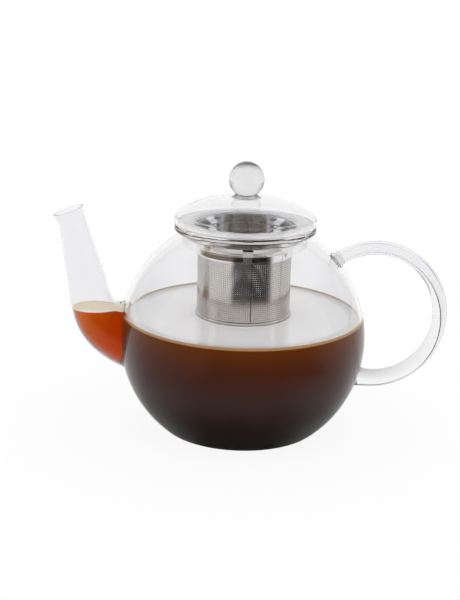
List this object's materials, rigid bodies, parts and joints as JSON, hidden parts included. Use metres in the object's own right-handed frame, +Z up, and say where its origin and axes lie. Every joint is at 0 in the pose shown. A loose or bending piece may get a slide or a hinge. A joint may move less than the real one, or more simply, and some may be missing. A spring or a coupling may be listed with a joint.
{
  "type": "glass teapot",
  "caption": "Round clear glass teapot with a tapered spout, a looped glass handle, a hanging steel infuser basket, a domed lid with a ball knob, and tea inside.",
  "frame": {"origin": "middle of the flat base, on the surface the pot stands on", "axes": "+Z up the pot's axis; +X towards the handle and -X towards the spout; -Y is the side the picture shows"},
  "size_m": [0.2399, 0.15, 0.1652],
  "materials": {
    "pot_glass": "clear blown borosilicate, polished by fire",
    "spout_glass": "clear blown borosilicate, polished by fire",
    "handle_glass": "clear blown borosilicate, polished by fire",
    "weld_glass": "clear blown borosilicate, polished by fire",
    "lid_glass": "clear blown borosilicate, polished by fire",
    "knob_glass": "clear blown borosilicate, polished by fire",
    "ring_steel": "bright polished stainless sheet",
    "basket_steel": "finely perforated stainless sheet",
    "tea": "clear dark brewed tea"
  },
  "bodies": {
    "pot": {"glass_body": "pot_glass", "glass_rim": "pot_glass", "glass_spout": "spout_glass", "glass_handle": "handle_glass", "handle_upper_weld": "weld_glass", "handle_lower_weld": "weld_glass", "tea": "tea"},
    "infuser": {"infuser_ring": "ring_steel", "infuser_wall": "basket_steel", "infuser_floor": "basket_steel", "infuser_hem": "ring_steel", "infuser_seam": "basket_steel", "basket_strap_front": "ring_steel", "basket_strap_right": "ring_steel", "basket_strap_left": "ring_steel"},
    "lid": {"lid_dome": "lid_glass", "lid_collar": "lid_glass", "lid_knob": "knob_glass"}
  },
  "joints": [
    {"name": "infuser_lift", "type": "slide", "parent": "pot", "child": "infuser", "axis": [0, 0, 1], "range_m": [0, 0.1]},
    {"name": "lid_lift", "type": "slide", "parent": "infuser", "child": "lid", "axis": [0, 0, 1], "range_m": [0, 0.06]}
  ]
}
